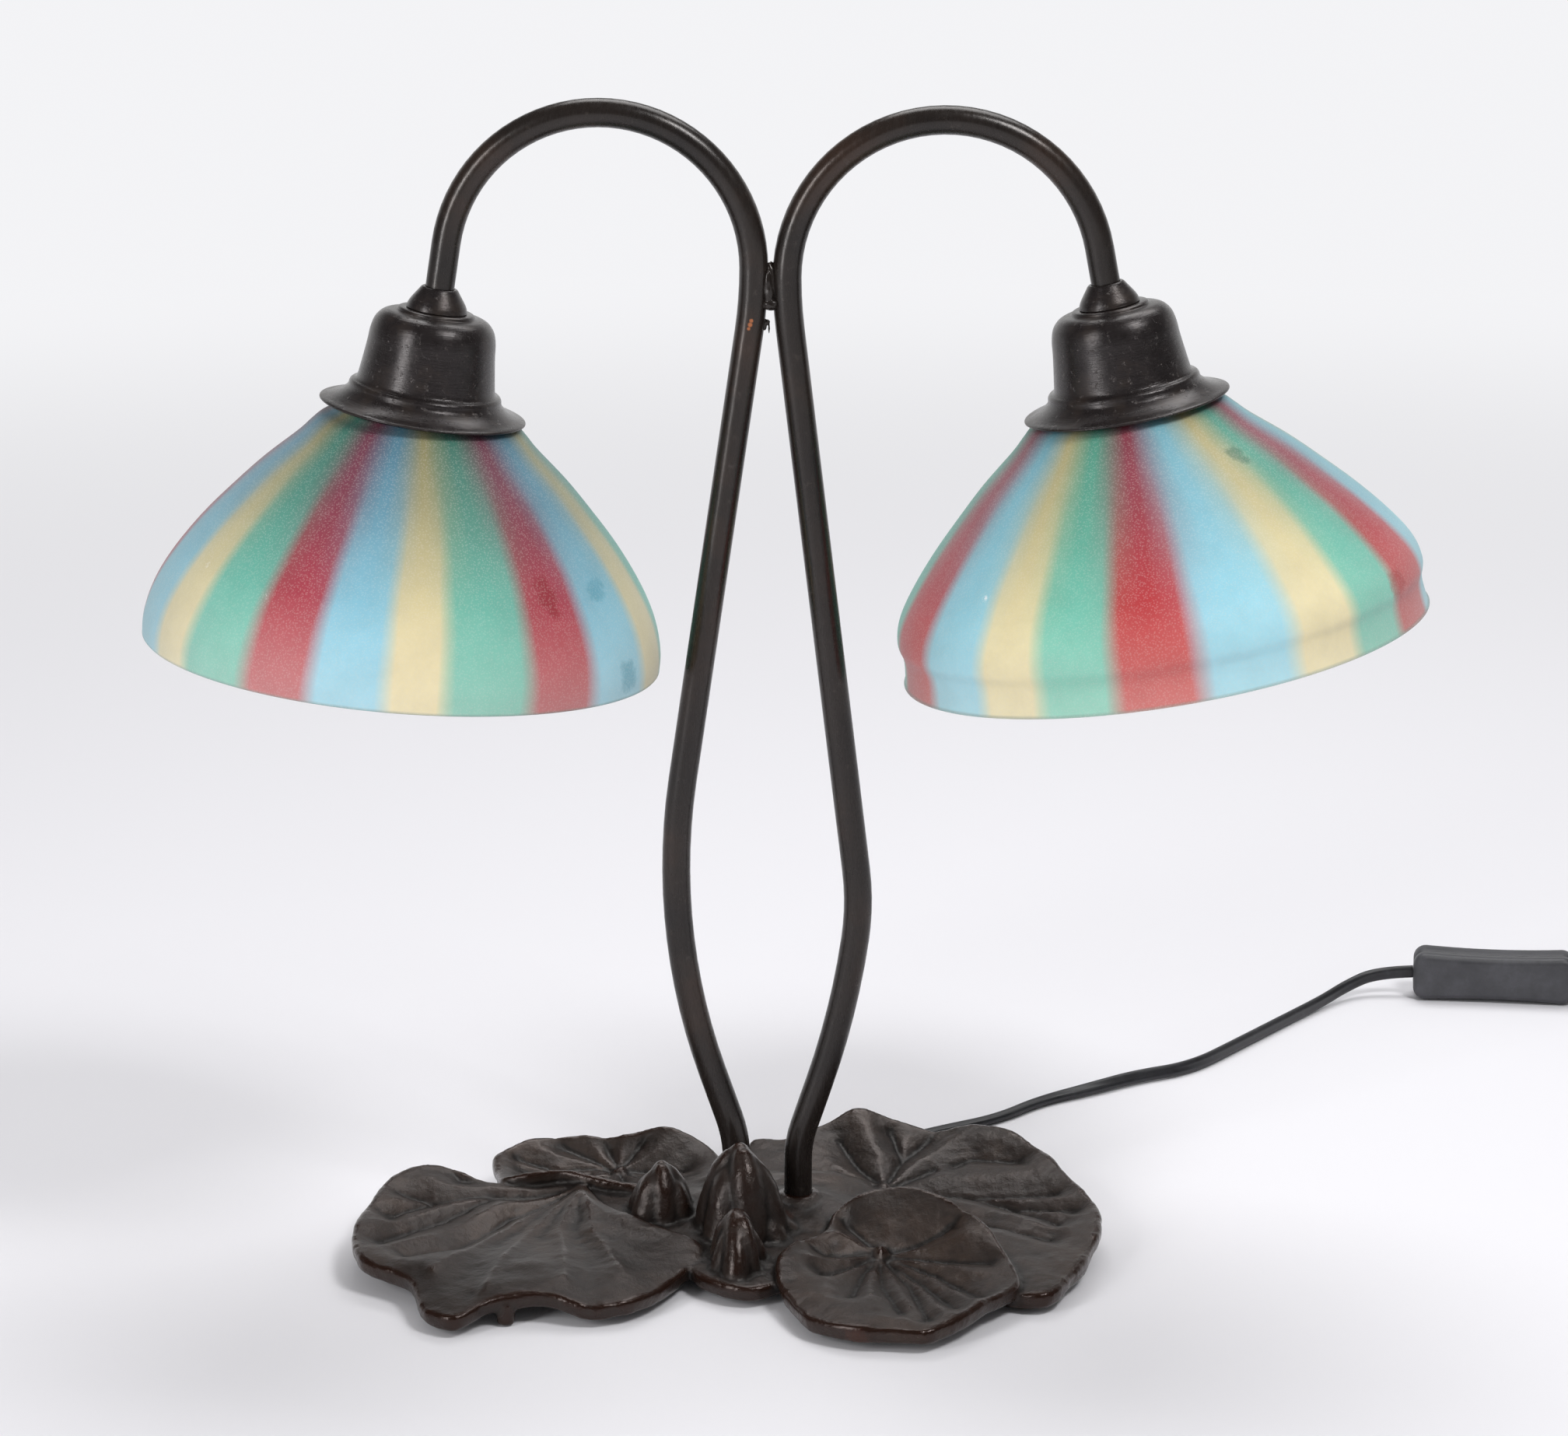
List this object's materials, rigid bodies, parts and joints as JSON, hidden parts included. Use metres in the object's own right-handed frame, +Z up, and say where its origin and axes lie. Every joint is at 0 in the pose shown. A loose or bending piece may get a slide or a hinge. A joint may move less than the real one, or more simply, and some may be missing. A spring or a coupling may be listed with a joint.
{
  "type": "tulip shade table lamp",
  "caption": "Table lamp with goose-neck arms, striped tulip glass shades, a cast lily-pad base and a flat mains cord with an in-line rocker switch.",
  "frame": {"origin": "centre of the lamp's own bounding box at table height, its cord left out", "axes": "+Z up, +X to the right along the plane of both arms, the front with the buds faces -Y"},
  "size_m": [0.661, 0.404, 0.4117],
  "materials": {
    "cast_metal": "bronze-brown patina, satin, worn glossy on the rims",
    "arm_tube": "dark bronze patina, satin, lightly scratched",
    "weld_bead": "dark patina with bare copper-coloured scratches",
    "spun_metal": "dark bronze patina, semi-gloss",
    "striped_glass": "opal glass with soft vertical stripes in red, blue, yellow and green",
    "bulb_glass": "white frosted",
    "bulb_cap": "plain bright metal",
    "lampholder": "black moulded",
    "brass_contact": "bright pressed brass",
    "steel_fixing": "zinc plated",
    "cover_sheet": "black powder coat",
    "cord_sheath": "black, smooth, slightly glossy",
    "wire_sheath": "clear grey insulation",
    "terminal_plastic": "natural white",
    "switch_plastic": "charcoal, fine-grained",
    "plug_plastic": "black moulded",
    "pin_metal": "nickel plated"
  },
  "bodies": {
    "lamp": {"base_casting": "cast_metal", "arm_left": "arm_tube", "arm_right": "arm_tube", "arm_weld": "weld_bead", "neck_nut_left": "spun_metal", "neck_nut_right": "spun_metal", "shade_holder_left": "spun_metal", "shade_holder_right": "spun_metal", "glass_shade_left": "striped_glass", "glass_shade_right": "striped_glass", "lampholder_left": "lampholder", "lampholder_right": "lampholder", "shade_ring_left": "lampholder", "shade_ring_right": "lampholder", "lamp_shell_left": "brass_contact", "lamp_shell_right": "brass_contact", "lamp_contact_left": "brass_contact", "lamp_contact_right": "brass_contact", "bulb_glass_left": "bulb_glass", "bulb_glass_right": "bulb_glass", "bulb_cap_left": "bulb_cap", "bulb_cap_right": "bulb_cap", "arm_wire_left": "wire_sheath", "arm_wire_right": "wire_sheath", "arm_foot_washers": "steel_fixing", "arm_foot_nuts": "steel_fixing", "terminal_block": "terminal_plastic", "terminal_screws": "steel_fixing", "cover_plate": "cover_sheet", "cover_screws": "steel_fixing", "cord_bush": "cord_sheath", "cord_tail": "cord_sheath", "cord_to_switch": "cord_sheath", "switch_base": "switch_plastic", "switch_cover": "switch_plastic", "switch_contacts": "brass_contact", "cord_to_coil": "cord_sheath", "cord_coil": "cord_sheath", "cord_to_plug": "cord_sheath", "coil_tie": "cord_sheath", "plug_relief": "plug_plastic", "plug_body": "plug_plastic", "plug_pins": "pin_metal", "plug_pin_sleeves": "plug_plastic"},
    "rocker": {"switch_rocker": "switch_plastic"}
  },
  "joints": [
    {"name": "rocker_tilt", "type": "hinge", "parent": "lamp", "child": "rocker", "pos_m": [0.29758, 0.29426, 0.0105], "axis": [0, 0, 1], "range_deg": [0, 14]}
  ]
}
